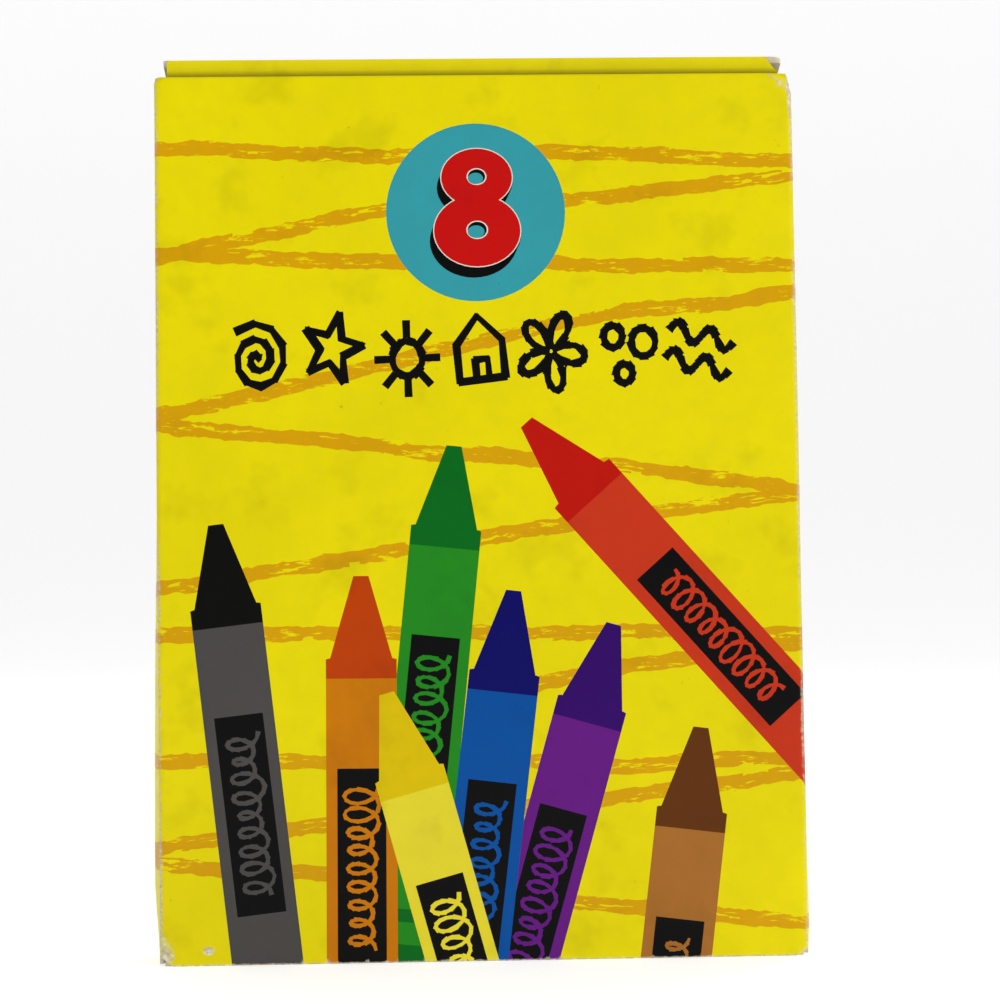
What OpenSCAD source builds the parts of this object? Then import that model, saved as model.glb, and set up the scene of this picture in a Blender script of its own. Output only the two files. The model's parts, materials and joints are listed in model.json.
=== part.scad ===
// Flat carton of eight wax crayons: a folded paperboard box with a tuck lid,
// standing on its glued bottom, lid sprung a little open.
// Millimetres. +Z up, front panel faces -Y, origin at the middle of the base.

/* [Carton] */
// width across the front panel
carton_w = 70.6; // [70.4:0.1:74]
// depth, front to back
carton_d = 11.2; // [11.2:0.1:13]
// height of the front panel
carton_h = 97; // [96.5:0.5:99]
// board thickness
board = 0.45; // [0.35:0.05:0.5]
// radius of the folded upright edges
edge_r = 0.7; // [0.5:0.1:1]
// width of the glued seam flap
seam_w = 9; // [6:1:12]

/* [Lid] */
// how far the lid has sprung open, degrees
lid_spring = 11; // [0:1:11]
// length of the tuck flap
tuck_len = 6; // [5:0.5:6]
// lean of the tuck flap towards the crayons, degrees
tuck_lean = 12; // [11:1:13]
// length of a top dust flap
dust_len = 12; // [8:1:14]
// lift of the dust flaps at rest, degrees
dust_lift = 5.5; // [4:0.5:7]

/* [Crayons] */
// length of a crayon
crayon_len = 92; // [90:0.5:92]
// radius of the wax stick
wax_r = 3.95; // [3.8:0.05:3.95]
// outside radius of the paper wrapper
wrap_r = 4.1; // [4.1:0.05:4.15]
// distance between neighbouring crayons
pitch = 8.5; // [8.4:0.1:8.5]
// length of the cone at the writing end
cone_len = 11; // [9:0.5:12]
// radius of the blunt writing tip
tip_r = 1.75; // [1.5:0.05:1.8]

/* [Node selector] */

/* [Hidden] */
$fn = 96;
half_w = carton_w / 2;
half_d = carton_d / 2;
in_w = half_w - board;         // half of the inside width
in_d = half_d - board;         // half of the inside depth
far = 200;                     // longer than anything in the carton

// bottom closure, from the floor up: outer flap, glue, inner flap, dust flaps
glue_t = 0.1;
inner_z = board + glue_t;
dust_z = inner_z + board;
floor_z = dust_z + board + 0.05;   // top of the dust flaps, where crayons stand
bottom_dust_len = 20;
bottom_inner_d = 8;            // depth of the inner bottom flap
glue_inset = 1.2;              // bare margin round the bottom glue

// top closure
side_top = carton_h - 0.55;    // the side panels stop under the lid
fold_gap = 0.15;               // between the tuck fold and the front panel
lid_len = half_d + in_d - fold_gap;
lid_w = 2 * in_w - 0.8;        // the lid drops between the side panels
tuck_w = lid_w - 1.2;
fold_y = half_d - lid_len * cos(lid_spring);   // place of the tuck fold at rest
fold_z = carton_h + lid_len * sin(lid_spring);
tuck_corner = 3;               // rounded lower corners of the tuck flap
crease_cut = 46;               // bevel inside the lid and dust flap creases
mitre = 31;                    // cut at the tuck fold, from the outer face
dust_gap = 0.2;                // dust flap to front or back panel
dust_front = 1.9;              // cut back to clear the tuck flap
dust_taper = 6.5;              // slanted away at the lid hinge side
dust_tip_cut = 1.5;            // extra slant at the front corner

// crayons
row_y = 0.3;                   // the row leans against the back
base_chamfer = 0.5;
shoulder_step = 0.45;          // small ledge where the cone starts
shoulder_z = crayon_len - cone_len;
wrap_low = 3;                  // bare wax below the wrapper
wrap_high = 72;                // top edge of the wrapper
wrap_clear = 0.02;             // paper lies on the wax
tip_round = 0.4;

board_outer = [0.96, 0.78, 0.05];
board_inner = [0.72, 0.66, 0.56];

// ---------- shared shapes ----------

// plan of the carton with its rounded upright edges
module carton_plan() {
  square([carton_w - 2 * edge_r, carton_d], center = true);
  square([carton_w, carton_d - 2 * edge_r], center = true);
  for (sx = [-1, 1])
    for (sy = [-1, 1])
      translate([sx * (half_w - edge_r), sy * (half_d - edge_r)])
        circle(r = edge_r);
}

// the part of the carton tube inside one upright box
module tube_piece(x, y, w, d, z, h) {
  intersection() {
    translate([0, 0, z])
      linear_extrude(height = h)
        carton_plan();
    translate([x, y, z - 1])
      cube([w, d, h + 2]);
  }
}

// the lid lying flat, hinge edge at the origin and mitred at both folds, outer face up
module lid_strip() {
  rotate([90, 0, 90])
    translate([0, 0, -lid_w / 2])
      linear_extrude(height = lid_w)
        polygon([
          [0, 0],
          [-lid_len, 0],
          [-lid_len + board / tan(mitre), -board],
          [-board, -board]
        ]);
}

// one wrapped crayon stands at its place in the row, counted from the left
module at_place(i) {
  translate([(i - 3.5) * pitch, row_y, floor_z])
    children();
}

module wax_stick() {
  rotate_extrude()
    polygon([
      [0, 0],
      [wax_r - base_chamfer, 0],
      [wax_r, base_chamfer],
      [wax_r, shoulder_z],
      [wax_r - shoulder_step, shoulder_z + 0.3],
      [tip_r + tip_round / 3, crayon_len - tip_round],
      [tip_r - tip_round / 2, crayon_len],
      [0, crayon_len]
    ]);
}

module paper_wrapper() {
  translate([0, 0, wrap_low])
    difference() {
      cylinder(r = wrap_r, h = wrap_high - wrap_low);
      translate([0, 0, -1])
        cylinder(r = wax_r + wrap_clear, h = far);
    }
}

// ---------- carton walls ----------

module front_panel() {
  color(board_outer)
    tube_piece(-half_w, -half_d, carton_w, board, board, carton_h - board);
}

// the lid hinges on the top outer edge, so that edge is mitred
module back_panel() {
  color(board_outer)
    difference() {
      tube_piece(-half_w, in_d, carton_w, board, board, carton_h - board);
      translate([0, half_d, carton_h])
        rotate([crease_cut, 0, 0])
          translate([-far / 2, -5, 0])
            cube([far, 10, 5]);
    }
}

// side panels stand between front and back and are mitred for their dust flaps
module right_side_panel() {
  color(board_outer)
    difference() {
      tube_piece(in_w, -in_d, board, 2 * in_d, 0, side_top);
      translate([half_w, 0, side_top])
        rotate([0, -crease_cut, 0])
          translate([-5, -far / 2, 0])
            cube([10, far, 5]);
    }
}

module left_side_panel() {
  mirror([1, 0, 0])
    right_side_panel();
}

// seam flap turned in from the left side and glued to the inside of the back
module seam_flap() {
  color(board_inner)
    translate([-in_w, in_d - glue_t - board, floor_z])
      cube([seam_w, board, side_top - floor_z - 4]);
}

module seam_glue() {
  color([0.9, 0.88, 0.8])
    translate([-in_w + 1, in_d - glue_t, floor_z + 2])
      cube([seam_w - 2, glue_t, side_top - floor_z - 8]);
}

// ---------- bottom closure ----------

module bottom_outer_flap() {
  color(board_outer)
    translate([-in_w + 0.2, -half_d, 0])
      cube([2 * in_w - 0.4, carton_d, board]);
}

module bottom_glue() {
  color([0.9, 0.88, 0.8])
    translate([-in_w + 0.2 + glue_inset, in_d - bottom_inner_d + glue_inset, board])
      cube([2 * (in_w - 0.2 - glue_inset), bottom_inner_d - 2 * glue_inset, glue_t]);
}

module bottom_inner_flap() {
  color(board_inner)
    translate([-in_w + 0.2, in_d - bottom_inner_d, inner_z])
      cube([2 * in_w - 0.4, bottom_inner_d, board]);
}

module bottom_dust_flap_right() {
  color(board_inner)
    translate([0, 0, dust_z])
      linear_extrude(height = board)
        polygon([
          [in_w, -in_d + dust_gap],
          [in_w, in_d - dust_gap],
          [in_w - bottom_dust_len, in_d - 2],
          [in_w - bottom_dust_len, -in_d + 2]
        ]);
}

module bottom_dust_flap_left() {
  mirror([1, 0, 0])
    bottom_dust_flap_right();
}

// ---------- top closure ----------

module top_lid() {
  color(board_outer)
    translate([0, half_d, carton_h])
      rotate([-lid_spring, 0, 0])
        lid_strip();
}

module tuck_flap() {
  flat = tuck_w / 2 - tuck_corner;
  color(board_outer)
    translate([0, fold_y, fold_z])
      rotate([tuck_lean, 0, 0])
        intersection() {
          rotate([90, 0, 90])
            translate([0, 0, -tuck_w / 2])
              linear_extrude(height = tuck_w)
                polygon([
                  [0, 0],
                  [0, -tuck_len],
                  [board, -tuck_len],
                  [board, -board / tan(mitre)]
                ]);
          // front view of the flap with its rounded lower corners
          rotate([90, 0, 0])
            translate([0, 0, -1])
              linear_extrude(height = 2)
                union() {
                  translate([-tuck_w / 2, -tuck_len + tuck_corner])
                    square([tuck_w, tuck_len]);
                  translate([-flat, -tuck_len])
                    square([2 * flat, tuck_len]);
                  for (s = [-1, 1])
                    translate([s * flat, -tuck_len + tuck_corner])
                      circle(r = tuck_corner);
                }
        }
}

// dust flap turned in from the right side panel, slanted away at the back
module top_dust_flap_right() {
  color(board_outer)
    translate([half_w, 0, side_top])
      rotate([0, dust_lift, 0])
        intersection() {
          rotate([90, 0, 0])
            translate([0, 0, -half_d])
              linear_extrude(height = carton_d)
                polygon([
                  [0, 0],
                  [-dust_len, 0],
                  [-dust_len, -board],
                  [-board, -board]
                ]);
          translate([0, 0, -2])
            linear_extrude(height = 4)
              polygon([
                [1, -in_d + dust_front],
                [1, in_d - dust_gap - 0.6],
                [-board, in_d - dust_gap - 0.6],
                [-dust_len - 1, in_d - dust_gap - dust_taper],
                [-dust_len - 1, -in_d + dust_front + dust_tip_cut],
                [-dust_len + 2, -in_d + dust_front]
              ]);
        }
}

module top_dust_flap_left() {
  mirror([1, 0, 0])
    top_dust_flap_right();
}

// ---------- crayons ----------

module crayon(i, tint) {
  color(tint)
    at_place(i)
      wax_stick();
}

module wrapper(i, tint) {
  color(tint)
    at_place(i)
      paper_wrapper();
}

front_panel();
back_panel();
left_side_panel();
right_side_panel();
seam_flap();
seam_glue();
bottom_dust_flap_left();
bottom_dust_flap_right();
bottom_inner_flap();
bottom_outer_flap();
bottom_glue();
top_lid();
tuck_flap();
top_dust_flap_left();
top_dust_flap_right();
crayon(0, [0.80, 0.06, 0.07]);  // crayon_red
wrapper(0, [0.84, 0.10, 0.10]);  // wrapper_red
crayon(1, [0.95, 0.40, 0.05]);  // crayon_orange
wrapper(1, [0.97, 0.48, 0.10]);  // wrapper_orange
crayon(2, [0.98, 0.85, 0.10]);  // crayon_yellow
wrapper(2, [0.99, 0.88, 0.20]);  // wrapper_yellow
crayon(3, [0.05, 0.45, 0.20]);  // crayon_green
wrapper(3, [0.10, 0.55, 0.25]);  // wrapper_green
crayon(4, [0.05, 0.20, 0.65]);  // crayon_blue
wrapper(4, [0.10, 0.28, 0.72]);  // wrapper_blue
crayon(5, [0.35, 0.12, 0.50]);  // crayon_violet
wrapper(5, [0.42, 0.18, 0.58]);  // wrapper_violet
crayon(6, [0.40, 0.20, 0.10]);  // crayon_brown
wrapper(6, [0.48, 0.26, 0.14]);  // wrapper_brown
crayon(7, [0.05, 0.05, 0.05]);  // crayon_black
wrapper(7, [0.12, 0.12, 0.12]);  // wrapper_black
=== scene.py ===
"""Printed paperboard carton of eight wax crayons, standing with its lid sprung a little open.

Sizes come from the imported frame. Lengths in the artwork are millimetres on the front panel,
x from its middle and z from its foot.
"""
import json
import math
import random

import bmesh
import bpy
from mathutils import Matrix, Vector, noise
from mathutils.geometry import delaunay_2d_cdt


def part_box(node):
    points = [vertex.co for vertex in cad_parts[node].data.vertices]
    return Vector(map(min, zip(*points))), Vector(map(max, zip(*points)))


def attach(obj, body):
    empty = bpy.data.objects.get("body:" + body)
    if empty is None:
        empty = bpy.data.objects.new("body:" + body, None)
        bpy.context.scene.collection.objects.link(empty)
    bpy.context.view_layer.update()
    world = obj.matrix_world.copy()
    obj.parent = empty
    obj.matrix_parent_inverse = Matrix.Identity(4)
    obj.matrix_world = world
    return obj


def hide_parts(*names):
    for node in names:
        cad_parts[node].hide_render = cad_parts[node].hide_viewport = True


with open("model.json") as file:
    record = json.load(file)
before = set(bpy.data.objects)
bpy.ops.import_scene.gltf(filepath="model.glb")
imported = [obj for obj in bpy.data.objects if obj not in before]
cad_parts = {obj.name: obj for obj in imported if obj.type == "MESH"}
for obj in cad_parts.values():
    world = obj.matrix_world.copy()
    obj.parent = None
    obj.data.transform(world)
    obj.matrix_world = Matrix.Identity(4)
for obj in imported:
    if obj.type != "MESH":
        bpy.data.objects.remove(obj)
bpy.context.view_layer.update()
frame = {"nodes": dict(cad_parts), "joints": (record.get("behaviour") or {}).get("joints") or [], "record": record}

MM = 0.001
COLOURS = ["red", "orange", "yellow", "green", "blue", "violet", "brown", "black"]

# ---------- sizes taken from the frame ----------

front_lo, front_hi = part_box("front_panel")
HALF_W = front_hi.x
HALF_D = -front_lo.y
HEIGHT = front_hi.z
BOARD = front_hi.y - front_lo.y
SIDE_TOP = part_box("right_side_panel")[1].z
JOINTS = {j["name"]: j for j in frame["joints"]}
HINGE = Vector(JOINTS["lid_hinge"]["pos_m"])
FOLD = Vector(JOINTS["tuck_fold"]["pos_m"])
DUST_HINGE = Vector(JOINTS["dust_flap_right_fold"]["pos_m"])
TUCK_LEAN = math.radians(12)      # the tuck from upright, at rest
DUST_LIFT = math.radians(5.5)     # the dust flaps from level, at rest

# the board sheet wraps round the carton: s runs along the outside, 0 at the front's middle
EDGE_R = 0.7 * MM
FLAT_W = HALF_W - EDGE_R
FLAT_D = 2 * (HALF_D - EDGE_R)
ARC = math.pi / 2 * EDGE_R
S_MIN = -(FLAT_W + ARC + FLAT_D)
S_SIDE_END = FLAT_W + ARC + FLAT_D
S_MAX = S_SIDE_END + 2 * ARC + 2 * FLAT_W


# ---------- materials ----------

def graph(name):
    """A new node material: gives it, its tree, its shader and its object coordinates."""
    mat = bpy.data.materials.new(name)
    mat.use_nodes = True
    tree = mat.node_tree
    bsdf = tree.nodes["Principled BSDF"]
    coord = tree.nodes.new("ShaderNodeTexCoord").outputs["Object"]
    return mat, tree, bsdf, coord


def add_noise(tree, coord, scale, detail=3.0, stretch=(1, 1, 1), roughness=0.55):
    """Noise whose features are about 1 / scale metres across."""
    mapping = tree.nodes.new("ShaderNodeMapping")
    mapping.inputs["Scale"].default_value = stretch
    tree.links.new(coord, mapping.inputs["Vector"])
    node = tree.nodes.new("ShaderNodeTexNoise")
    node.inputs["Scale"].default_value = scale
    node.inputs["Detail"].default_value = detail
    node.inputs["Roughness"].default_value = roughness
    tree.links.new(mapping.outputs["Vector"], node.inputs["Vector"])
    return node.outputs["Fac"]


def remap(tree, value, low, high, to_low=0.0, to_high=1.0):
    node = tree.nodes.new("ShaderNodeMapRange")
    node.inputs["From Min"].default_value = low
    node.inputs["From Max"].default_value = high
    node.inputs["To Min"].default_value = to_low
    node.inputs["To Max"].default_value = to_high
    tree.links.new(value, node.inputs["Value"])
    return node.outputs["Result"]


def maths(tree, op, a, b):
    node = tree.nodes.new("ShaderNodeMath")
    node.operation = op
    node.use_clamp = True
    for socket, value in zip(node.inputs, (a, b)):
        if isinstance(value, (int, float)):
            socket.default_value = value
        else:
            tree.links.new(value, socket)
    return node.outputs["Value"]


def mix(tree, factor, a, b, blend="MIX"):
    """Mixes two colours; a and b are sockets or plain colours."""
    node = tree.nodes.new("ShaderNodeMix")
    node.data_type = "RGBA"
    node.blend_type = blend
    if isinstance(factor, (int, float)):
        node.inputs["Factor"].default_value = factor
    else:
        tree.links.new(factor, node.inputs["Factor"])
    for socket, value in ((node.inputs[6], a), (node.inputs[7], b)):
        if isinstance(value, (tuple, list)):
            socket.default_value = (*value[:3], 1)
        else:
            tree.links.new(value, socket)
    return node.outputs[2]


def shade(colour, k):
    return tuple(min(1.0, c * k) for c in colour)


def add_bump(tree, bsdf, layers):
    """Chains bump nodes; each layer is (height socket, strength, distance in metres)."""
    last = None
    for height, strength, distance in layers:
        node = tree.nodes.new("ShaderNodeBump")
        node.inputs["Strength"].default_value = strength
        node.inputs["Distance"].default_value = distance
        tree.links.new(height, node.inputs["Height"])
        if last:
            tree.links.new(last, node.inputs["Normal"])
        last = node.outputs["Normal"]
    tree.links.new(last, bsdf.inputs["Normal"])


def printed_ink(name, colour, brush=None, gap_shade_z=None):
    """Coated board printed in one ink.

    brush is the colour that shows through a dry stroke. Near and below the gap height the print is darkened:
    painted shade of the gap where a flap goes behind a panel's top edge.
    """
    mat, tree, bsdf, coord = graph(name)
    broad = add_noise(tree, coord, 45, 3)
    mottle = add_noise(tree, coord, 420, 4)
    fine = add_noise(tree, coord, 2600, 3)
    base = mix(tree, remap(tree, broad, 0.3, 0.7), shade(colour, 0.93), shade(colour, 1.04))
    base = mix(tree, remap(tree, mottle, 0.35, 0.75, 0, 0.35), base, shade(colour, 0.86))
    smudge = add_noise(tree, coord, 130, 3, roughness=0.6)
    base = mix(tree, remap(tree, smudge, 0.56, 0.72, 0, 0.5), base, shade(colour, 0.72))
    # painted shade: the print darkens towards the gap height, standing in for the shadow where the tuck meets the
    # front panel's top edge
    if gap_shade_z:
        height = tree.nodes.new("ShaderNodeSeparateXYZ")
        tree.links.new(coord, height.inputs["Vector"])
        rub_and_shade = remap(tree, height.outputs["Z"], gap_shade_z + 0.9 * MM, gap_shade_z + 0.15 * MM, 0, 0.75)
        base = mix(tree, rub_and_shade, base, shade(colour, 0.28))
    if brush:
        grain = add_noise(tree, coord, 900, 5, stretch=(0.28, 0.28, 1.25), roughness=0.7)
        base = mix(tree, remap(tree, grain, 0.58, 0.63), base, brush)
    # grey-brown grime specks
    speck = add_noise(tree, coord, 520, 6, roughness=0.75)
    base = mix(tree, remap(tree, speck, 0.665, 0.72, 0, 0.55), base, shade(colour, 0.45))
    # the coat is scuffed through to pale board along the folds and corners
    wear = tree.nodes.new("ShaderNodeAttribute")
    wear.attribute_name = "wear"
    chips = add_noise(tree, coord, 1500, 5, roughness=0.7)
    worn = maths(tree, "ADD", wear.outputs["Fac"], maths(tree, "SUBTRACT", chips, 0.42))
    worn = maths(tree, "MULTIPLY", remap(tree, worn, 0.5, 0.72), wear.outputs["Fac"])
    bare = mix(tree, remap(tree, fine, 0.3, 0.7), (0.42, 0.36, 0.24), (0.84, 0.80, 0.62))
    tree.links.new(mix(tree, worn, base, bare), bsdf.inputs["Base Color"])
    rough = remap(tree, mottle, 0.3, 0.7, 0.34, 0.48)
    rough = maths(tree, "ADD", rough, maths(tree, "MULTIPLY", worn, 0.4))
    tree.links.new(rough, bsdf.inputs["Roughness"])
    bsdf.inputs["Coat Weight"].default_value = 0.05
    bsdf.inputs["Coat Roughness"].default_value = 0.22
    bsdf.inputs["Specular IOR Level"].default_value = 0.08
    wave = add_noise(tree, coord, 160, 2)
    add_bump(tree, bsdf, [(wave, 0.35, 0.00010), (mottle, 0.25, 0.00003), (fine, 0.2, 0.00001)])
    return mat


def bare_board(name, colour=(0.50, 0.45, 0.36)):
    """Uncoated recycled board: mottled grey-brown with fibres and a few dark flecks."""
    mat, tree, bsdf, coord = graph(name)
    fibre = add_noise(tree, coord, 1300, 6, stretch=(1, 1, 0.25), roughness=0.7)
    cloud = add_noise(tree, coord, 180, 3)
    fleck = add_noise(tree, coord, 900, 5, roughness=0.8)
    base = mix(tree, remap(tree, cloud, 0.3, 0.7), shade(colour, 0.88), shade(colour, 1.1))
    base = mix(tree, remap(tree, fibre, 0.35, 0.7, 0, 0.6), base, shade(colour, 1.35))
    base = mix(tree, remap(tree, fleck, 0.68, 0.73, 0, 0.7), base, shade(colour, 0.35))
    tree.links.new(base, bsdf.inputs["Base Color"])
    tree.links.new(remap(tree, fibre, 0.3, 0.7, 0.75, 0.92), bsdf.inputs["Roughness"])
    add_bump(tree, bsdf, [(cloud, 0.25, 0.00008), (fibre, 0.5, 0.00003)])
    return mat


def wax(name, colour):
    """Waxy stick: soft sheen, faint flow lines along the stick and a pale bloom."""
    mat, tree, bsdf, coord = graph(name)
    flow = add_noise(tree, coord, 700, 4, stretch=(1, 1, 0.12))
    patch = add_noise(tree, coord, 260, 4)
    rub_and_shade = add_noise(tree, coord, 1700, 4, roughness=0.7)
    base = mix(tree, remap(tree, patch, 0.3, 0.7), shade(colour, 0.85), shade(colour, 1.1))
    bloom = maths(tree, "MULTIPLY", remap(tree, patch, 0.5, 0.75), remap(tree, rub_and_shade, 0.4, 0.7))
    pale = tuple(0.55 * c + 0.32 for c in colour)
    base = mix(tree, maths(tree, "MULTIPLY", bloom, 0.45), base, pale)
    tree.links.new(base, bsdf.inputs["Base Color"])
    tree.links.new(remap(tree, rub_and_shade, 0.3, 0.7, 0.36, 0.6), bsdf.inputs["Roughness"])
    bsdf.inputs["Subsurface Weight"].default_value = 0.15
    bsdf.inputs["Subsurface Scale"].default_value = 0.001
    add_bump(tree, bsdf, [(flow, 0.4, 0.00006), (rub_and_shade, 0.25, 0.00002)])
    return mat


def wrapper_paper(name, colour):
    """Thin uncoated printed paper with fine fibres and patches worn pale by rubbing."""
    mat, tree, bsdf, coord = graph(name)
    fibre = add_noise(tree, coord, 2200, 5, stretch=(1, 1, 0.4), roughness=0.7)
    rub_and_shade = add_noise(tree, coord, 320, 5, roughness=0.65)
    base = mix(tree, remap(tree, fibre, 0.3, 0.7), shade(colour, 0.86), shade(colour, 1.08))
    pale = tuple(0.6 * c + 0.3 for c in colour)
    base = mix(tree, remap(tree, rub_and_shade, 0.58, 0.75, 0, 0.5), base, pale)
    tree.links.new(base, bsdf.inputs["Base Color"])
    tree.links.new(remap(tree, fibre, 0.3, 0.7, 0.62, 0.8), bsdf.inputs["Roughness"])
    add_bump(tree, bsdf, [(rub_and_shade, 0.2, 0.00004), (fibre, 0.4, 0.00002)])
    return mat


def dried_glue(name):
    mat, tree, bsdf, coord = graph(name)
    cloud = add_noise(tree, coord, 300, 4)
    base = mix(tree, remap(tree, cloud, 0.3, 0.7), (0.62, 0.58, 0.45), (0.82, 0.80, 0.70))
    tree.links.new(base, bsdf.inputs["Base Color"])
    tree.links.new(remap(tree, cloud, 0.3, 0.7, 0.3, 0.5), bsdf.inputs["Roughness"])
    add_bump(tree, bsdf, [(cloud, 0.4, 0.00005)])
    return mat


def studio_paper(name):
    mat, tree, bsdf, coord = graph(name)
    cloud = add_noise(tree, coord, 3, 2)
    base = mix(tree, cloud, (0.55, 0.55, 0.55), (0.57, 0.57, 0.57))
    tree.links.new(base, bsdf.inputs["Base Color"])
    bsdf.inputs["Roughness"].default_value = 0.9
    bsdf.inputs["Emission Color"].default_value = (1, 1, 1, 1)
    bsdf.inputs["Emission Strength"].default_value = 0.66
    return mat


# ink colours, linear
YELLOW = (0.815, 0.695, 0.0)
OCHRE = (0.68, 0.355, 0.0)
INKS = {
    "yellow": YELLOW,
    "stroke": OCHRE,
    "teal": (0.035, 0.33, 0.38),
    "pale": (0.80, 0.72, 0.62),
    "signal": (0.56, 0.004, 0.003),
    "ink_black": (0.0015, 0.0013, 0.0013),
    "red_dark": (0.50, 0.006, 0.001),
    "red": (0.57, 0.036, 0.009),
    "orange_dark": (0.50, 0.05, 0.0),
    "orange": (0.60, 0.19, 0.0),
    "lemon_dark": (0.74, 0.54, 0.0),
    "lemon": (0.82, 0.70, 0.03),
    "green_dark": (0.0005, 0.14, 0.010),
    "green": (0.016, 0.25, 0.012),
    "blue_dark": (0.002, 0.0015, 0.125),
    "blue": (0.0, 0.080, 0.35),
    "violet_dark": (0.033, 0.0005, 0.135),
    "violet": (0.13, 0.009, 0.22),
    "brown_dark": (0.12, 0.032, 0.003),
    "brown": (0.39, 0.15, 0.024),
    "black_dark": (0.0015, 0.0013, 0.001),
    "black": (0.072, 0.067, 0.064),
}
INK_NAMES = list(INKS)
ink_materials = [
    printed_ink("ink_" + n, c, brush=YELLOW if n == "stroke" else None)
    for n, c in INKS.items()
]
board_inside = bare_board("board_inside")
board_edge = bare_board("board_edge", (0.62, 0.56, 0.42))


# ---------- printed artwork, as polygons on the unrolled sheet ----------

shapes = []      # (ink name, [(s, z), ...]) in paint order, metres


def densify(points, step=1.3):
    """Splits long edges, so that the fine wear beside them stays local."""
    out = []
    for a, b in zip(points, points[1:] + points[:1]):
        parts = max(1, round(math.hypot(b[0] - a[0], b[1] - a[1]) / step))
        out += [(a[0] + (b[0] - a[0]) * k / parts, a[1] + (b[1] - a[1]) * k / parts)
                for k in range(parts)]
    return out


def paint(ink, points):
    """Adds a polygon, turned anticlockwise, as the sheet's triangulation needs."""
    points = [(x * MM, z * MM) for x, z in densify(points)]
    turns = sum(a[0] * b[1] - b[0] * a[1] for a, b in zip(points, points[1:] + points[:1]))
    shapes.append((ink, points if turns > 0 else points[::-1]))


def disc(ink, x, z, rx, rz=None, steps=40):
    rz = rz or rx
    turn = [2 * math.pi * i / steps for i in range(steps)]
    paint(ink, [(x + rx * math.cos(t), z + rz * math.sin(t)) for t in turn])


def brush_stroke(stops, width, seed):
    """A rough dry-brush stroke through the stops: a few ragged bristle tracks side by side."""
    rng = random.Random(seed)
    upper, lower = [], []

    def close():
        if len(upper) > 2:
            paint("stroke", upper + lower[::-1])
        upper.clear()
        lower.clear()

    for track in range(4):
        offset = (track - 1.5) * width * 0.24
        phase = seed * 3.1 + track * 7.7
        for (x0, z0), (x1, z1) in zip(stops, stops[1:]):
            steps = max(2, int(abs(x1 - x0) / 0.55))
            for i in range(steps):
                t = i / steps
                x = x0 + (x1 - x0) * t
                wander = 0.45 * noise.noise(Vector((x * 0.09, seed, 0)))
                wander += 0.16 * noise.noise(Vector((x * 0.5, phase, 1)))
                z = z0 + (z1 - z0) * t + wander + offset
                press = 0.62 + 0.75 * noise.noise(Vector((x * 0.22, phase, 5)))
                half = width * 0.22 * press + rng.uniform(-0.07, 0.09)
                if half < 0.05:
                    close()
                    continue
                upper.append((x, z + half + rng.uniform(-0.06, 0.10)))
                lower.append((x, z - half + rng.uniform(-0.10, 0.06)))
        close()


def pen_line(ink, points, width, seed, ragged=0.25):
    """A hand-drawn line: short quads of changing width along the points."""
    rng = random.Random(seed)
    for (x0, z0), (x1, z1) in zip(points, points[1:]):
        length = math.hypot(x1 - x0, z1 - z0) or 1e-6
        dx, dz = (x1 - x0) / length, (z1 - z0) / length
        a = width / 2 * (1 + rng.uniform(-ragged, ragged))
        b = width / 2 * (1 + rng.uniform(-ragged, ragged))
        e = width * 0.25
        paint(ink, [
            (x0 - dx * e - dz * a, z0 - dz * e + dx * a),
            (x1 + dx * e - dz * b, z1 + dz * e + dx * b),
            (x1 + dx * e + dz * b, z1 + dz * e - dx * b),
            (x0 - dx * e + dz * a, z0 - dz * e - dx * a),
        ])


def loops(ink, at, length, height, turns, width, seed):
    """One looping scribble of the kind a child draws; it spells nothing."""
    rng = random.Random(seed)
    reach = [rng.uniform(0.55, 1.0) for _ in range(turns + 2)]
    line = []
    steps = turns * 14
    for k in range(steps + 1):
        t = k / steps
        turn = t * turns
        size = reach[int(turn)] * (1 - turn % 1) + reach[int(turn) + 1] * (turn % 1)
        angle = 2 * math.pi * turn
        u = length * (t - 0.5) + 0.32 * height * size * math.sin(angle)
        line.append(at(u, 0.5 * height * size * math.cos(angle)))
    pen_line(ink, line, width, seed, 0.35)


def doodle_shapes():
    """Plain pictures drawn with a few pen lines, each in a box one unit wide."""
    def ring(radius, steps=22, cx=0.0, cy=0.0):
        turn = [2 * math.pi * k / steps for k in range(steps + 1)]
        return [(cx + radius * math.cos(t), cy + radius * math.sin(t)) for t in turn]

    def star(points, outer, inner):
        turn = [math.pi * k / points + math.pi / 2 for k in range(2 * points + 1)]
        return [((outer, inner)[k % 2] * math.cos(t), (outer, inner)[k % 2] * math.sin(t))
                for k, t in enumerate(turn)]

    spiral = [(0.02 * k * math.cos(0.62 * k), 0.02 * k * math.sin(0.62 * k)) for k in range(25)]
    rays = [[(r * math.cos(a), r * math.sin(a)) for r in (0.32, 0.52)]
            for a in [math.pi / 4 * k for k in range(8)]]
    petals = [(0.46 * abs(math.cos(2.5 * a)) * math.cos(a) + 0.05 * math.cos(a),
               0.46 * abs(math.cos(2.5 * a)) * math.sin(a) + 0.05 * math.sin(a))
              for a in [2 * math.pi * k / 60 for k in range(61)]]
    waves = [[(-0.5 + 0.04 * k, row + 0.12 * math.sin(0.5 * k)) for k in range(26)]
             for row in (-0.22, 0.16)]
    house = [[(-0.4, -0.45), (-0.4, 0.1), (0.0, 0.5), (0.4, 0.1), (0.4, -0.45), (-0.4, -0.45)],
             [(-0.1, -0.45), (-0.1, -0.15), (0.12, -0.15), (0.12, -0.45)]]
    drops = [ring(0.15, 12, -0.25, 0.22), ring(0.19, 14, 0.22, 0.12), ring(0.13, 12, -0.1, -0.28)]
    return [[spiral], [star(5, 0.54, 0.22)], [ring(0.25)] + rays, house, [petals],
            drops, waves]


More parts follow.
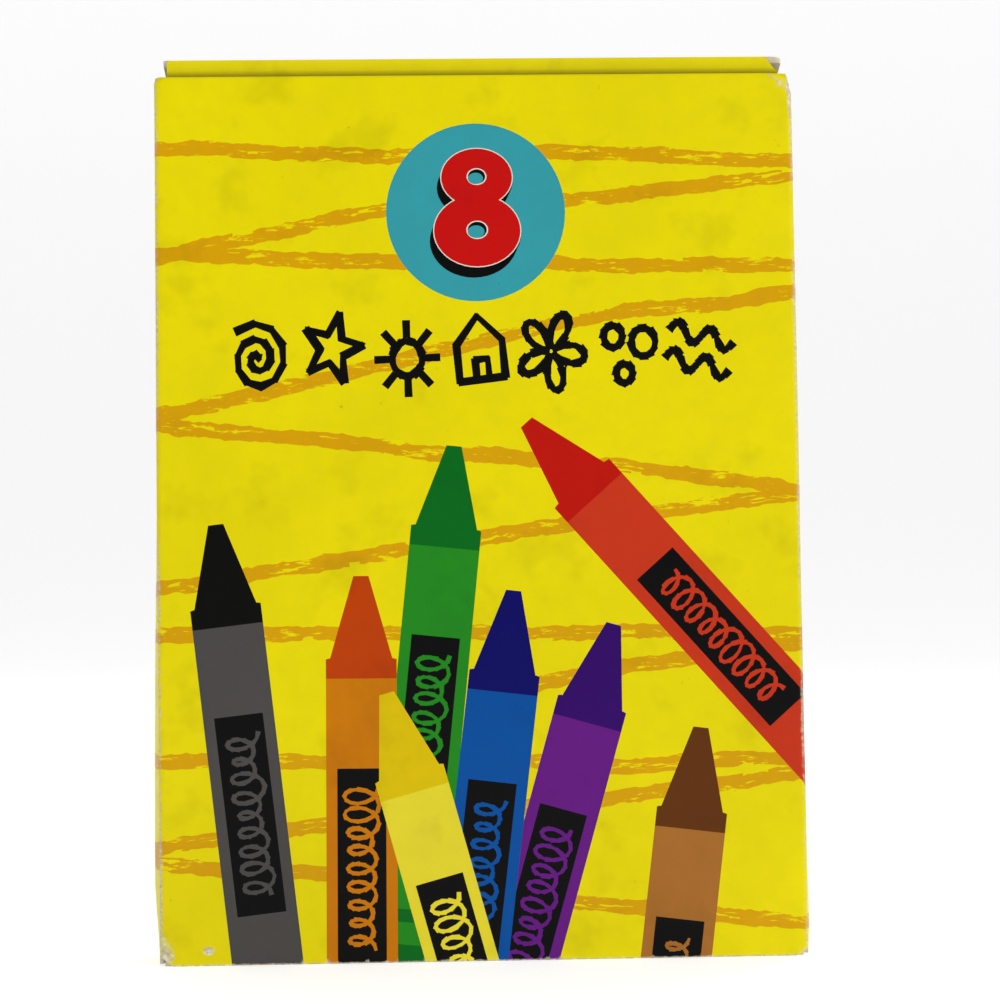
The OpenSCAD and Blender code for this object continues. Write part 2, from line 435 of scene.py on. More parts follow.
def doodles(ink, centre, pitch, size, width, seed):
    """A row of rough pen doodles."""
    rng = random.Random(seed)
    for index, lines in enumerate(doodle_shapes()):
        lean = rng.uniform(-0.25, 0.25)
        x = centre[0] + (index - 3) * pitch + rng.uniform(-0.4, 0.4)
        z = centre[1] + rng.uniform(-0.7, 0.7)
        grow = size * rng.uniform(0.95, 1.15)
        for line in lines:
            turned = [(x + grow * (u * math.cos(lean) - v * math.sin(lean)),
                       z + 1.18 * grow * (u * math.sin(lean) + v * math.cos(lean)))
                      for u, v in line]
            pen_line(ink, turned, width, seed + index, 0.3)


# a printed crayon, measured from its tip along its axis
TIP_W, CONE_W, BODY_W = 1.65, 7.0, 7.7
CONE_END, COLLAR_END = 9.35, 11.15
LABEL_START, LABEL_END, LABEL_W = 20.9, 42.5, 5.3
STRIPES = ((50.6, 1.4), (54.4, 4.0))      # start and depth of each band


def printed_crayon(ink, tip, lean, length, seed, wide=BODY_W, stripes=()):
    """A flat drawing of a crayon; lean is the tip's lean to the right, in degrees."""
    down = Vector((-math.sin(math.radians(lean)), -math.cos(math.radians(lean))))
    side = Vector((-down.y, down.x))

    def at(u, d):
        p = Vector(tip) + side * u + down * d
        return (p.x, p.y)

    def band(name, half, start, end):
        paint(name, [at(-half, start), at(half, start), at(half, end), at(-half, end)])

    cone, half = CONE_W / 2, wide / 2
    paint(ink + "_dark", [at(-TIP_W / 2, 0), at(TIP_W / 2, 0),
                          at(cone, CONE_END), at(-cone, CONE_END)])
    paint(ink + "_dark", [
        at(-half, CONE_END - 0.3), at(-cone, CONE_END - 0.4), at(cone, CONE_END - 0.4),
        at(half, CONE_END - 0.3), at(half, COLLAR_END), at(-half, COLLAR_END),
    ])
    band(ink, half, COLLAR_END, length)
    for d, deep in stripes:
        band(ink + "_dark", half, d, d + deep)
    band("ink_black", LABEL_W / 2, LABEL_START, LABEL_END)
    middle = (LABEL_START + LABEL_END) / 2
    loops(ink, lambda u, v: at(v, middle + u), 17.5, 3.9, 9, 0.44, seed)


STROKE_W = 1.55


def draw_strokes():
    edge = 47      # past the side panels, so that the strokes run right across them
    runs = [
        [(-edge, 89.6), (-9, 88.0), (10, 88.4), (edge, 86.6)],
        [(-edge, 74.6), (-35, 77.0), (-9, 82.4), (10, 83.0), (35, 85.6), (edge, 86.6)],
        [(-edge, 78.2), (-35, 77.4), (-7, 76.2), (9, 75.9), (edge, 75.4)],
        [(-edge, 58.4), (-33, 60.0), (9.6, 69.6), (35, 72.6), (edge, 75.4)],
        [(-edge, 59.6), (-35, 58.6), (-6.5, 55.6), (15, 53.6), (35, 50.9), (edge, 49.8)],
        [(-edge, 39.0), (-35, 40.8), (-7, 44.9), (15, 47.9), (20, 48.6), (35, 50.4), (edge, 51.4)],
        [(-edge, 35.4), (-35, 35.8), (0, 35.6), (35, 34.9), (edge, 34.7)],
        [(-edge, 22.6), (-35, 22.1), (-7, 21.6), (15, 21.0), (34, 21.4)],
        [(-edge, 11.8), (-35, 11.0), (-16, 9.4), (12, 5.9), (35, 3.6), (edge, 3.2)],
        [(5, 29.6), (11, 31.0), (16, 31.4), (23.5, 32.6), (35, 34.2), (edge, 34.8)],
        [(-edge, 12.4), (-35, 12.8), (-18.7, 14.6), (14.2, 17.3), (26.7, 18.9), (35, 20.0),
         (edge, 20.4)],
    ]
    for i, stops in enumerate(runs):
        brush_stroke(stops, STROKE_W, 11 + i)


def draw_count():
    """The number of crayons, as a plain numeral of two rings on a round patch."""
    disc("teal", 0.0, 81.75, 9.85, steps=72)
    lobes = [(0.15, 85.6, 3.9, 3.2), (0.15, 79.7, 4.75, 3.95)]
    for step in range(4):
        for x, z, rx, rz in lobes:
            disc("ink_black", x - 0.13 * step, z - 0.28 * step - 0.3, rx + 0.1, rz + 0.1)
    for grow, ink in ((0.11, "pale"), (0.0, "signal")):
        for x, z, rx, rz in lobes:
            disc(ink, x, z, rx + grow, rz + grow)
    for x, z, r in ((0.15, 85.7, 0.95), (0.15, 79.8, 1.05)):
        disc("pale", x, z, r + 0.15, (r + 0.15) * 0.85)
        disc("ink_black", x, z, r, r * 0.85)
        disc("teal", x - 0.12, z - 0.2, r * 0.88, r * 0.66)


def draw_scrawl():
    """A row of doodles where such cartons carry their heading."""
    doodles("ink_black", (0.3, 66.3), 8.1, 6.4, 0.85, 9)


def draw_crayons():
    printed_crayon("red", (5.25, 58.5), -41.5, 80, 21, wide=8.1)
    printed_crayon("black", (-28.8, 47.7), -6.3, 60, 22)
    printed_crayon("green", (-2.7, 56.0), 6.2, 70, 24, stripes=STRIPES)
    printed_crayon("orange", (-13.05, 41.9), 0.4, 60, 23)
    printed_crayon("violet", (14.5, 36.3), 16.1, 60, 25)
    printed_crayon("blue", (3.6, 40.1), 7.1, 60, 26)
    printed_crayon("lemon", (-10.4, 29.1), -15.2, 60, 27)
    printed_crayon("brown", (23.85, 24.9), 7.2, 60, 28)


SCUFF_X, SCUFF_Z = -29.9, 1.6
SCUFF_WIDE, SCUFF_HIGH = 0.75, 0.55      # against a round scuff


def draw_scuff():
    """Yellow discs that only add points, so that the sheet can carry a small pale scuff."""
    for r in (0.95, 0.62, 0.3):
        disc("yellow", SCUFF_X, SCUFF_Z, SCUFF_WIDE * r * 1.3, SCUFF_HIGH * r * 1.3, steps=16)


def draw_back():
    """The back repeats the strokes only."""
    start, end = (S_SIDE_END + ARC / 2) / MM, S_MAX / MM
    paint("yellow", [(start, -1), (end, -1), (end, 99), (start, 99)])
    z = 88.0
    for i in range(6):
        tilt = 5.5 if i % 2 else -5.5
        middle = (start + end) / 2
        stops = [(start, z), (middle, z + tilt * 0.6), (end - 0.3, z + tilt)]
        brush_stroke(stops, STROKE_W, 41 + i)
        z -= 14.2


# ---------- the board sheet ----------

def sheet_point(s):
    """Point on the carton's outside and the outward normal there, both flat in x and y."""
    if s < 0:
        x, y, nx, ny = sheet_point(-s)
        return -x, y, -nx, ny
    if s <= FLAT_W:
        return s, -HALF_D, 0, -1
    s -= FLAT_W
    if s <= ARC:
        a = s / EDGE_R
        return (FLAT_W + EDGE_R * math.sin(a), -HALF_D + EDGE_R * (1 - math.cos(a)),
                math.sin(a), -math.cos(a))
    s -= ARC
    if s <= FLAT_D:
        return HALF_W, -HALF_D + EDGE_R + s, 1, 0
    s -= FLAT_D
    if s <= ARC:
        a = s / EDGE_R
        return (FLAT_W + EDGE_R * math.cos(a), HALF_D - EDGE_R * (1 - math.sin(a)),
                math.cos(a), math.sin(a))
    s -= ARC
    if s <= 2 * FLAT_W:
        return FLAT_W - s, HALF_D, 0, 1
    a = (s - 2 * FLAT_W) / EDGE_R
    return (-FLAT_W - EDGE_R * math.sin(a), HALF_D - EDGE_R * (1 - math.cos(a)),
            -math.sin(a), math.cos(a))


def sheet_outline():
    """The cut shape of the sheet. Its side panels stop lower, where the dust flaps fold.

    The two front corners at the foot are crushed up a little.
    """
    nick = 0.35 * MM
    right = S_SIDE_END + ARC
    return [
        (S_MIN, 0), (-FLAT_W - ARC - 1.5 * MM, 0), (-FLAT_W - ARC - 0.5 * MM, 0.8 * MM),
        (-FLAT_W - ARC * 0.4, 0.95 * MM), (-FLAT_W + 0.35 * MM, 0.3 * MM), (-FLAT_W + 0.9 * MM, 0),
        (FLAT_W - 0.8 * MM, 0), (FLAT_W - 0.1 * MM, 0.2 * MM), (FLAT_W + ARC * 0.6, 0.6 * MM),
        (FLAT_W + ARC + 0.6 * MM, 0.3 * MM), (FLAT_W + ARC + 1.3 * MM, 0),
        (S_MAX, 0), (S_MAX, HEIGHT - nick), (S_MAX - ARC / 2, HEIGHT),
        (right - ARC / 2, HEIGHT), (right - ARC, SIDE_TOP),
        (FLAT_W + ARC, SIDE_TOP), (FLAT_W + ARC * 0.45, HEIGHT - nick), (FLAT_W, HEIGHT),
        (-FLAT_W, HEIGHT), (-FLAT_W - ARC * 0.45, HEIGHT - 0.3 * nick), (-FLAT_W - ARC, SIDE_TOP),
        (S_MIN, SIDE_TOP),
    ]


FOLDS = [-FLAT_W - ARC / 2, FLAT_W + ARC / 2, S_SIDE_END + ARC / 2, S_MAX - ARC / 2]
# the crushed upper right corner folds back along a line between these two points
CRUSH_A = Vector((32.5 * MM, HEIGHT))
CRUSH_B = Vector((36.0 * MM, 94.1 * MM))
CRUSH_SLOPE = 0.3
# each side panel bellies out by up to this much, below this height
LEFT_BELLY, LEFT_BELLY_TOP = 0.95 * MM, 62 * MM
RIGHT_BELLY, RIGHT_BELLY_TOP = 0.85 * MM, 70 * MM


def sheet_wear(s, z):
    """How scuffed the print is, 0 to 1 and over."""
    fold = min(abs(s - f) for f in FOLDS)
    along = 0.62 + 0.38 * noise.noise(Vector((s * 90, z * 90, 3)))
    worn = along * math.exp(-(fold / (0.42 * MM)) ** 2)
    worn = max(worn, 0.4 * math.exp(-(HEIGHT - z) / (0.16 * MM)))
    worn = max(worn, 0.9 * math.exp(-z / (0.22 * MM)))
    for f in FOLDS:
        for corner, reach in ((0.0, 1.2 * MM), (HEIGHT, 0.45 * MM)):
            worn = max(worn, 1.15 * math.exp(-math.hypot(s - f, z - corner) / reach))
    crease = (CRUSH_B - CRUSH_A).normalized()
    off = Vector((s, z)) - CRUSH_A
    if -0.3 * MM < off.dot(crease) < 3.6 * MM:
        worn = max(worn, 0.7 * math.exp(-(abs(off.cross(crease)) / (0.16 * MM)) ** 2))
    # board laid bare down the fold below the crushed corner
    bare = abs(s - FLAT_W - ARC * 0.4) / (0.55 * MM)
    if bare < 1 and z > HEIGHT - 3.4 * MM:
        worn = max(worn, 1.1 * (1 - bare ** 2))
    # the lower left corner is rubbed to pale board
    corner = math.hypot((s + FLAT_W + ARC * 0.2) / (0.6 * MM), (z - 0.9 * MM) / (2.0 * MM))
    worn = max(worn, 1.25 * math.exp(-corner ** 2))
    scuff = math.hypot((s - SCUFF_X * MM) / SCUFF_WIDE, (z - SCUFF_Z * MM) / SCUFF_HIGH)
    return max(worn, 1.2 * math.exp(-(scuff / (0.9 * MM)) ** 4))


def sheet_lift(s, z):
    """How far the board stands proud of its plane: a slight bow, dents and the crushed corner."""
    lift = 0.05 * MM * noise.noise(Vector((s * 40, z * 40, 7)))
    lift *= min(1, z / (4 * MM)) * min(1, max(0, HEIGHT - z) / (4 * MM))
    # the left side panel bellies out towards its foot
    across = (-s - FLAT_W - ARC) / FLAT_D
    if 0 < across < 1 and z < LEFT_BELLY_TOP:
        swell = math.sin(math.pi * min(1, (LEFT_BELLY_TOP - z) / (105 * MM)))
        lift += LEFT_BELLY * swell * math.sin(math.pi * across) * min(1, 0.35 + z / (12 * MM))
    # the right side panel bellies out less, and most at its foot
    across = (s - FLAT_W - ARC) / FLAT_D
    if 0 < across < 1 and z < RIGHT_BELLY_TOP:
        swell = (1 - z / RIGHT_BELLY_TOP) ** 1.3
        lift += RIGHT_BELLY * swell * math.sin(math.pi * across) * min(1, 0.55 + z / (6 * MM))
    crease = (CRUSH_B - CRUSH_A).normalized()
    past = (Vector((s, z)) - CRUSH_A).cross(crease)
    if past < 0 and z > 90 * MM and 30 * MM < s < FLAT_W + ARC:
        lift += CRUSH_SLOPE * past
    return lift


def sheet_grid():
    """Extra points that let the sheet bend round its folds, and fold lines as fixed edges."""
    columns = []
    x = -FLAT_W
    while x < FLAT_W + 1e-7:
        columns.append(x)
        x += 2 * FLAT_W / 36
    back = [S_SIDE_END + ARC + FLAT_W + c for c in columns]
    sides = [side * (FLAT_W + ARC + FLAT_D * k / 6) for side in (-1, 1) for k in range(7)]
    loose = columns[1:-1] + back[1:-1] + sides
    arcs = []
    for start in (-FLAT_W - ARC, FLAT_W, S_SIDE_END, S_MAX - ARC):
        arcs += [start + ARC * k / 5 for k in range(6)]
    rows = [0.25, 0.6, 1.2, 2.2] + [4 + 2.2 * k for k in range(41)]
    rows += [HEIGHT / MM - d for d in (2.2, 1.2, 0.7, 0.3)]
    rows = sorted(set(r * MM for r in rows if 0 < r * MM < HEIGHT))
    return loose, [a for a in arcs if S_MIN < a < S_MAX], rows


def build_sheet():
    draw_strokes()
    draw_scuff()
    draw_count()
    draw_scrawl()
    draw_crayons()
    draw_back()
    verts = [Vector(p) for p in sheet_outline()]
    faces, edges = [list(range(len(verts)))], []
    for _, points in shapes:
        first = len(verts)
        verts += [Vector(p) for p in points]
        faces.append(list(range(first, len(verts))))
    loose, arcs, rows = sheet_grid()
    for s in loose:
        verts += [Vector((s, z)) for z in rows if z < SIDE_TOP - 0.1 * MM]
    # a dense row along each cut edge carries its fine wear
    for start in (-FLAT_W, S_SIDE_END + ARC):
        for k in range(1, 88):
            s = start + 2 * FLAT_W * k / 88
            verts += [Vector((s, z)) for z in (0.0, 0.3 * MM, HEIGHT - 0.25 * MM, HEIGHT)]
    for s in arcs:
        first = len(verts)
        stops = [z for z in [0.0] + rows if z < SIDE_TOP - 0.1 * MM]
        verts += [Vector((s, z)) for z in stops]
        edges += [(k, k + 1) for k in range(first, len(verts) - 1)]
    first = len(verts)
    verts += [CRUSH_A, CRUSH_A.lerp(CRUSH_B, 0.33), CRUSH_A.lerp(CRUSH_B, 0.66)]
    edges += [(first, first + 1), (first + 1, first + 2)]
    # worked in millimetres, so that the merge distance suits the artwork
    scaled = [v / MM for v in verts]
    points, _, triangles, _, _, origins = delaunay_2d_cdt(scaled, edges, faces, 1, 1e-4)
    mesh = bpy.data.meshes.new("carton_sleeve")
    keep = [(t, o) for t, o in zip(triangles, origins) if 0 in o]
    flat = [Vector(p) * MM for p in points]
    places = []
    for p in flat:
        x, y, nx, ny = sheet_point(p.x)
        lift = sheet_lift(p.x, p.y)
        places.append((x + nx * lift, y + ny * lift, p.y))
    mesh.from_pydata(places, [], [t for t, _ in keep])
    for face, (_, owners) in zip(mesh.polygons, keep):
        top = max(owners)
        face.material_index = INK_NAMES.index(shapes[top - 1][0]) if top else 0
        face.use_smooth = True
    worn = mesh.attributes.new("wear", "FLOAT", "POINT")
    for i, p in enumerate(flat):
        worn.data[i].value = min(1.0, sheet_wear(p.x, p.y))
    piece = bpy.data.objects.new("carton_sleeve", mesh)
    bpy.context.collection.objects.link(piece)
    for mat in ink_materials:
        mesh.materials.append(mat)
    mesh.materials.append(board_edge)
    mesh.materials.append(board_inside)
    tidy_mesh(mesh)
    solid = piece.modifiers.new("board", "SOLIDIFY")
    solid.thickness = BOARD
    solid.offset = -1
    solid.use_even_offset = False
    solid.use_rim = True
    solid.material_offset = len(INK_NAMES) + 1
    solid.material_offset_rim = len(INK_NAMES) + 1
    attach(piece, "carton")
    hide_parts("front_panel", "back_panel", "left_side_panel", "right_side_panel")


def tidy_mesh(mesh):
    """Drops unused points and makes the faces look outward."""
    bm = bmesh.new()
    bm.from_mesh(mesh)
    bmesh.ops.delete(bm, geom=[v for v in bm.verts if not v.link_faces], context="VERTS")
    face = max(bm.faces, key=lambda f: -f.calc_center_median().y)
    bm.normal_update()
    if face.normal.y > 0:
        bmesh.ops.reverse_faces(bm, faces=bm.faces[:])
    bm.to_mesh(mesh)
    bm.free()


# ---------- flaps ----------

def board_flap(name, outline, place, body, nodes, inner_v, ink, worn=0.45):
    """A cut flap of board: outline in its own u, v plane, outer face at w 0, thick towards -w.

    The inner face keeps between the two inner_v values, so a folded edge is mitred.
    """
    bm = bmesh.new()
    layer = bm.verts.layers.float.new("wear")
    outer = [bm.verts.new((u, v, 0)) for u, v in outline]
    inner = [bm.verts.new((u, min(max(v, inner_v[0]), inner_v[1]), -BOARD)) for u, v in outline]
    top = bm.faces.new(outer)
    bottom = bm.faces.new(inner[::-1])
    bottom.material_index = 1
    count = len(outline)
    for i in range(count):
        j = (i + 1) % count
        rim = bm.faces.new((outer[i], inner[i], inner[j], outer[j]))
        rim.material_index = 2
    bmesh.ops.inset_region(bm, faces=[top], thickness=0.3 * MM, depth=0)
    # each bevel takes the material of a face beside it
    cut = [e for e in bm.edges if len({f.material_index for f in e.link_faces}) > 1]
    bmesh.ops.bevel(bm, geom=cut, offset=0.05 * MM, segments=2, affect="EDGES", profile=0.5,
                    material=-1)
    bmesh.ops.remove_doubles(bm, verts=bm.verts[:], dist=0.004 * MM)
    bmesh.ops.dissolve_degenerate(bm, edges=bm.edges[:], dist=0.002 * MM)
    for v in bm.verts:
        v[layer] = worn if any(f.material_index == 2 for f in v.link_faces) else 0
    bmesh.ops.triangulate(bm, faces=[f for f in bm.faces if len(f.verts) > 4])
    bmesh.ops.recalc_face_normals(bm, faces=bm.faces[:])
    bmesh.ops.transform(bm, matrix=place, verts=bm.verts[:])
    mesh = bpy.data.meshes.new(name)
    bm.to_mesh(mesh)
    bm.free()
    for mat in (ink, board_inside, board_edge):
        mesh.materials.append(mat)
    piece = bpy.data.objects.new(name, mesh)
    bpy.context.collection.objects.link(piece)
    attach(piece, body)
    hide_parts(*nodes)
    slot_of(nodes[0])


def slot_of(node):
    """The record's slot for a CAD node."""
    return next(p["material_slot"] for p in frame["record"]["subparts"] if p["node"] == node)


def rounded(points, radii, steps=6):
    """Rounds the corners of an outline."""
    out = []
    count = len(points)
    for i in range(count):
        p, r = Vector(points[i]), radii[i]
        if not r:
            out.append(tuple(p))
            continue
        a = (Vector(points[i - 1]) - p).normalized()
        b = (Vector(points[(i + 1) % count]) - p).normalized()
        for k in range(steps + 1):
            t = k / steps
            out.append(tuple(p + a * r * (1 - t) ** 2 + b * r * t ** 2))
    return out


def axes(origin, u, v):
    """Matrix that takes the flap's u, v, w axes to the frame."""
    u, v = Vector(u).normalized(), Vector(v).normalized()
    m = Matrix((u, v, u.cross(v))).transposed().to_4x4()
    m.translation = origin
    return m


TUCK_LEN = 6 * MM
TEAR_SIDE, TEAR_DOWN = 1.5 * MM, 1.8 * MM      # the torn right end of the tuck
DUST_LEN = 12 * MM
DUST_FRONT, DUST_BACK = 1.9 * MM, 0.8 * MM     # how far a dust flap keeps off each wall
MITRE = BOARD / math.tan(math.radians(31))     # how far inner faces are cut back at the tuck fold


def build_flaps():
    lid_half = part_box("top_lid")[1].x
    run = FOLD - Vector((0, HINGE.y, HINGE.z))
    lid_len = run.length
    yellow = ink_materials[0]
    # u along +X, v from the hinge crease to the fold, seen from above the lid
    outline = rounded([(-lid_half, 0.02 * MM), (lid_half, 0.02 * MM),
                       (lid_half - 0.2 * MM, lid_len), (-lid_half + 0.2 * MM, lid_len)],
                      [0, 0, 0.35 * MM, 1.3 * MM])
    place = axes(HINGE, (-1, 0, 0), run)
    board_flap("lid_board", outline, place, "lid", ["top_lid"], (BOARD, lid_len - MITRE), yellow)
    tuck_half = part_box("tuck_flap")[1].x
    down = Vector((0, math.sin(TUCK_LEAN), -math.cos(TUCK_LEAN)))
    # the right end is torn off at a slant below the fold, over the crushed corner of the front
    outline = rounded([(-tuck_half + TEAR_SIDE, 0.01 * MM), (tuck_half, 0.01 * MM),
                       (tuck_half, TUCK_LEN), (-tuck_half, TUCK_LEN), (-tuck_half, TEAR_DOWN)],
                      [0.2 * MM, 0.4 * MM, 2.6 * MM, 2.6 * MM, 0.5 * MM])
    place = axes(Vector((0, FOLD.y, FOLD.z)), (-1, 0, 0), down)
    # the tuck's yellow, with painted shade just above the front panel's top edge where the tuck goes behind it
    gap_shaded_yellow = printed_ink("ink_yellow_gap_shaded", YELLOW, gap_shade_z=HEIGHT)
    board_flap("tuck_board", outline, place, "tuck", ["tuck_flap"], (MITRE, 1), gap_shaded_yellow)
    in_d = HALF_D - BOARD
    foot_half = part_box("bottom_outer_flap")[1].x
    outline = [(-foot_half, 0), (foot_half, 0), (foot_half, 2 * in_d), (-foot_half, 2 * in_d)]
    place = axes(Vector((0, -in_d, 0)), (-1, 0, 0), (0, 1, 0))
    board_flap("bottom_board", outline, place, "carton", ["bottom_outer_flap"], (0, 1), yellow)
    for side, name in ((-1, "left"), (1, "right")):
        outline = [(-in_d + DUST_FRONT, 0.1 * MM), (in_d - DUST_BACK, 0.1 * MM),
                   (in_d - DUST_BACK, BOARD), (in_d - 6.2 * MM, DUST_LEN),
                   (-in_d + 2.9 * MM, DUST_LEN), (-in_d + DUST_FRONT, 10.5 * MM)]
        if side > 0:
            inward = Vector((-math.cos(DUST_LIFT), 0, math.sin(DUST_LIFT)))
            place = axes(Vector((DUST_HINGE.x, 0, DUST_HINGE.z)), (0, 1, 0), inward)
        else:
            outline = [(-u, v) for u, v in outline][::-1]
            inward = Vector((math.cos(DUST_LIFT), 0, math.sin(DUST_LIFT)))
            place = axes(Vector((-DUST_HINGE.x, 0, DUST_HINGE.z)), (0, -1, 0), inward)
        board_flap("dust_board_" + name, outline, place, "dust_flap_" + name,
                   ["top_dust_flap_" + name], (BOARD, 1), yellow)


# ---------- crayons ----------

def lathe(name, rings, mat, sides=64):
    """Turned solid, closed at both ends; rings are (radius, z), from the foot up."""
    bm = bmesh.new()
    turn = [2 * math.pi * k / sides for k in range(sides)]
    rounds = [[bm.verts.new((radius * math.cos(a), radius * math.sin(a), z)) for a in turn]
              for radius, z in rings]
    for low, high in zip(rounds, rounds[1:]):
        for k in range(sides):
            n = (k + 1) % sides
            face = bm.faces.new((low[k], low[n], high[n], high[k]))
            face.smooth = True
    bm.faces.new(rounds[0][::-1])
    bm.faces.new(rounds[-1])
    mesh = bpy.data.meshes.new(name)
    bm.to_mesh(mesh)
    bm.free()
    mesh.materials.append(mat)
    piece = bpy.data.objects.new(name, mesh)
    bpy.context.collection.objects.link(piece)
    return piece


# heights from a stick's foot, and radii, in millimetres
SHOULDER, STICK_TOP = 81.0, 92.0
CONE_INSET, CONE_TIP_R = 0.62, 1.95


def build_stick(colour, centre, low, material):
    """Wax stick: chamfered foot, rounded shoulder, cone with a blunt rounded tip."""
    lo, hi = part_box("crayon_" + colour)
    wax_r = (hi.x - lo.x) / 2 / MM
    neck = wax_r - CONE_INSET
    profile = [(wax_r - 1.5, 0.35), (wax_r - 0.9, 0.0), (wax_r - 0.35, 0.1), (wax_r - 0.06, 0.4),
               (wax_r, 0.8), (wax_r, 30), (wax_r, 60), (wax_r, SHOULDER - 0.35),
               (wax_r - 0.1, SHOULDER - 0.06), (wax_r - 0.35, SHOULDER + 0.12),
               (neck, SHOULDER + 0.8)]
    rise = STICK_TOP - 1.4 - SHOULDER
    for k in range(1, 9):
        t = k / 9
        profile.append((neck - (neck - CONE_TIP_R) * t, SHOULDER + 0.8 + rise * t))
    profile += [(1.86, STICK_TOP - 0.5), (1.72, STICK_TOP - 0.2), (1.45, STICK_TOP - 0.04),
                (1.0, STICK_TOP)]
    piece = lathe("crayon_stick_" + colour, [(r * MM, z * MM) for r, z in profile], material)
    piece.location = (centre.x, centre.y, low)
    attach(piece, "crayon_" + colour)
    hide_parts("crayon_" + colour)


# the height in millimetres where each band of a wrapper starts, and whether it is printed
BANDS = [(0, 0), (2.2, 1), (3.4, 0), (4.2, 1), (4.8, 0), (22, 1), (22.6, 0), (23.4, 1),
         (46.0, 1), (46.8, 0), (47.6, 1), (48.2, 0), (64.2, 1), (64.8, 0), (65.6, 1), (66.8, 0)]
PAPER = 0.06 * MM
OVERLAP_STEP = 0.09 * MM
SEAM_TURN = 1.9      # radians, so that the seam faces the back


def build_wrapper(colour, centre, paper, ring_ink):
    """Paper wrapper with printed rings and middle, and a glued overlap down its length."""
    lo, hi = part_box("wrapper_" + colour)
    outer = (hi.x - lo.x) / 2
    length = hi.z - lo.z
    sides = 72
    bm = bmesh.new()
    rounds = []
    for z in [z for z, _ in BANDS] + [length / MM]:
        ring = []
        for k in range(sides + 1):
            t = k / sides
            r = outer - OVERLAP_STEP * max(0.0, 1 - t * 9)
            a = 2 * math.pi * t + SEAM_TURN
            ring.append(bm.verts.new((r * math.cos(a), r * math.sin(a), z * MM)))
        rounds.append(ring)
    for low, high, (_, mark) in zip(rounds, rounds[1:], BANDS):
        for k in range(sides):
            face = bm.faces.new((low[k], low[k + 1], high[k + 1], high[k]))
            face.material_index = mark
            face.smooth = True
    bmesh.ops.recalc_face_normals(bm, faces=bm.faces[:])
    mesh = bpy.data.meshes.new("crayon_wrapper_" + colour)
    bm.to_mesh(mesh)
    bm.free()
    for mat in (paper, ring_ink):
        mesh.materials.append(mat)
    piece = bpy.data.objects.new("crayon_wrapper_" + colour, mesh)
    bpy.context.collection.objects.link(piece)
    piece.location = (centre.x, centre.y, lo.z)
    solid = piece.modifiers.new("paper", "SOLIDIFY")
    solid.thickness = PAPER
    solid.offset = -1
    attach(piece, "crayon_" + colour)
    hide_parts("wrapper_" + colour)


WAX = {
    "red": (0.55, 0.02, 0.02), "orange": (0.80, 0.20, 0.02), "yellow": (0.85, 0.62, 0.03),
    "green": (0.02, 0.20, 0.05), "blue": (0.015, 0.06, 0.36), "violet": (0.11, 0.02, 0.22),
    "brown": (0.14, 0.045, 0.018), "black": (0.014, 0.013, 0.013),
}
WRAPPERS = {
    "red": (0.62, 0.05, 0.04), "orange": (0.85, 0.30, 0.04), "yellow": (0.88, 0.72, 0.08),
    "green": (0.04, 0.30, 0.08), "blue": (0.03, 0.12, 0.48), "violet": (0.18, 0.05, 0.32),
    "brown": (0.24, 0.10, 0.045), "black": (0.06, 0.055, 0.055),
}


def build_crayons():
    black = wrapper_paper("wrapper_ink_black", (0.02, 0.02, 0.02))
    grey = wrapper_paper("wrapper_ink_grey", (0.30, 0.29, 0.28))
    for colour in COLOURS:
        lo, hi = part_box("crayon_" + colour)
        centre = (lo + hi) / 2
        build_stick(colour, centre, lo.z, wax("wax_" + colour, WAX[colour]))
        paper = wrapper_paper("paper_" + colour, WRAPPERS[colour])
        build_wrapper(colour, centre, paper, grey if colour == "black" else black)


# ---------- carried-over CAD nodes ----------

def finish_nodes():
    looks = {
        "seam_flap": board_inside, "bottom_dust_flap_left": board_inside,
        "bottom_dust_flap_right": board_inside, "bottom_inner_flap": board_inside,
    }
    glue = dried_glue("dried_glue")
    looks["seam_glue"] = glue
    looks["bottom_glue"] = glue
    for name, mat in looks.items():
        node = frame["nodes"][name]
        if not node.material_slots:
            node.data.materials.append(mat)
        for slot in node.material_slots:
            slot.link = "OBJECT"
            slot.material = mat


# ---------- studio ----------

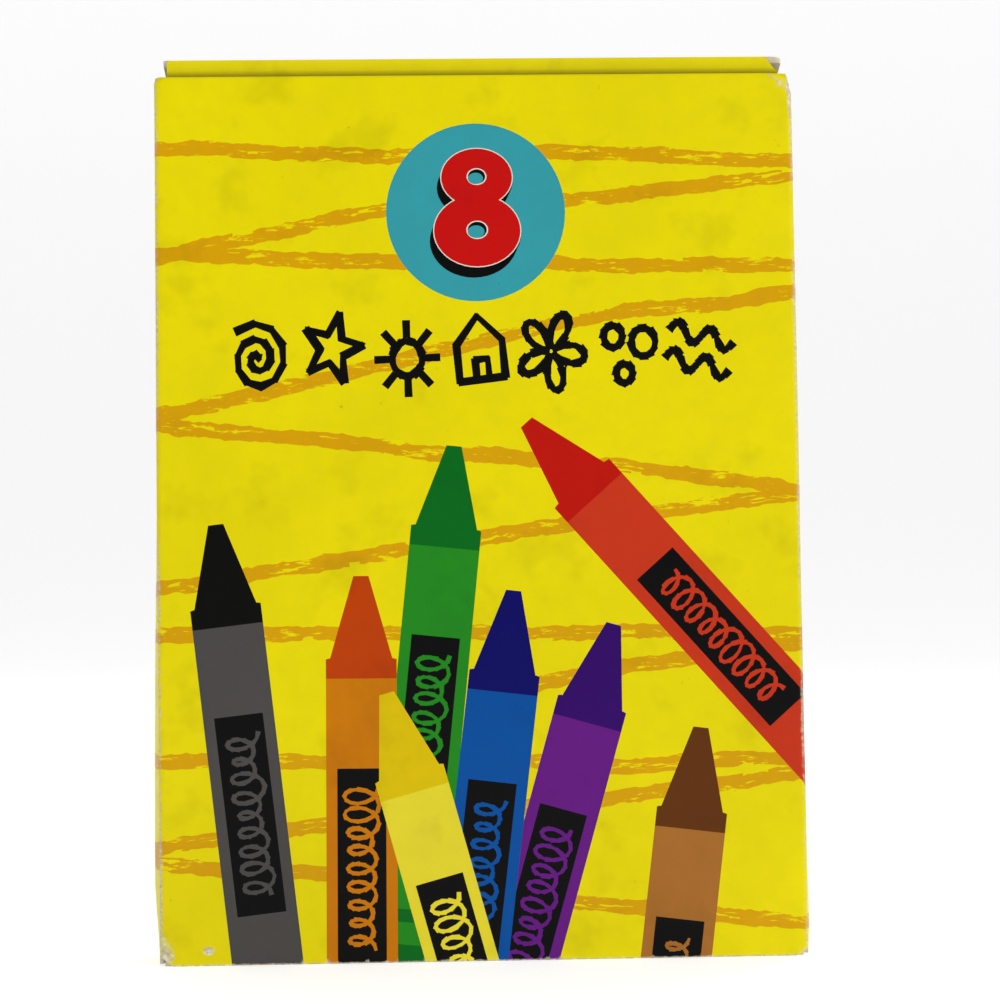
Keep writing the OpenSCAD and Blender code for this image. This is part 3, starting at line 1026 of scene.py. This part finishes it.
def build_studio():
    """Seamless pale sweep, four soft panels and an even sky."""
    mesh = bpy.data.meshes.new("sweep")
    bend_at, bend_r = 1.2, 0.6
    rows = [(-3.0, 0.0), (bend_at, 0.0)]
    rows += [(bend_at + bend_r * math.sin(a), bend_r - bend_r * math.cos(a))
             for a in [math.pi / 2 * k / 12 for k in range(1, 13)]]
    rows.append((1.8, 3.0))
    verts = [(x, y, z) for y, z in rows for x in (-4.0, 4.0)]
    faces = [(2 * k, 2 * k + 1, 2 * k + 3, 2 * k + 2) for k in range(len(rows) - 1)]
    mesh.from_pydata(verts, [], faces)
    for face in mesh.polygons:
        face.use_smooth = True
    sweep = bpy.data.objects.new("sweep", mesh)
    sweep.data.materials.append(studio_paper("studio_paper"))
    bpy.context.collection.objects.link(sweep)
    for name, place, size, power in (
        ("key", (0.55, -0.55, 0.42), 0.45, 3.0),
        ("fill", (-0.65, -0.42, 0.30), 0.6, 0.9),
        ("top", (0.0, 0.1, 0.80), 0.6, 1.7),
        ("rear", (0.45, 0.75, 0.45), 0.6, 2.2),
    ):
        light = bpy.data.lights.new(name, "AREA")
        light.size = size
        light.energy = power
        lamp = bpy.data.objects.new(name, light)
        lamp.location = place
        aim = Vector((0, 0, HEIGHT / 2)) - Vector(place)
        lamp.rotation_euler = aim.to_track_quat("-Z", "Y").to_euler()
        bpy.context.collection.objects.link(lamp)
    world = bpy.data.worlds.new("studio_sky")
    world.use_nodes = True
    sky = world.node_tree.nodes["Background"]
    sky.inputs["Color"].default_value = (1, 1, 1, 1)
    sky.inputs["Strength"].default_value = 0.22
    bpy.context.scene.world = world
    bpy.context.scene.view_settings.view_transform = "Standard"


def build_camera():
    cam = bpy.data.cameras.new("camera")
    cam.sensor_width = 36
    cam.lens = 86.4
    cam.clip_start = 0.01
    cam.clip_end = 20
    eye = bpy.data.objects.new("camera", cam)
    eye.location = (-0.0056, -0.2678, 0.0373)
    eye.rotation_euler = [math.radians(a) for a in (92.776, 0.793, -1.675)]
    bpy.context.collection.objects.link(eye)
    bpy.context.scene.camera = eye


build_camera()
build_studio()
build_sheet()
build_flaps()
build_crayons()
finish_nodes()
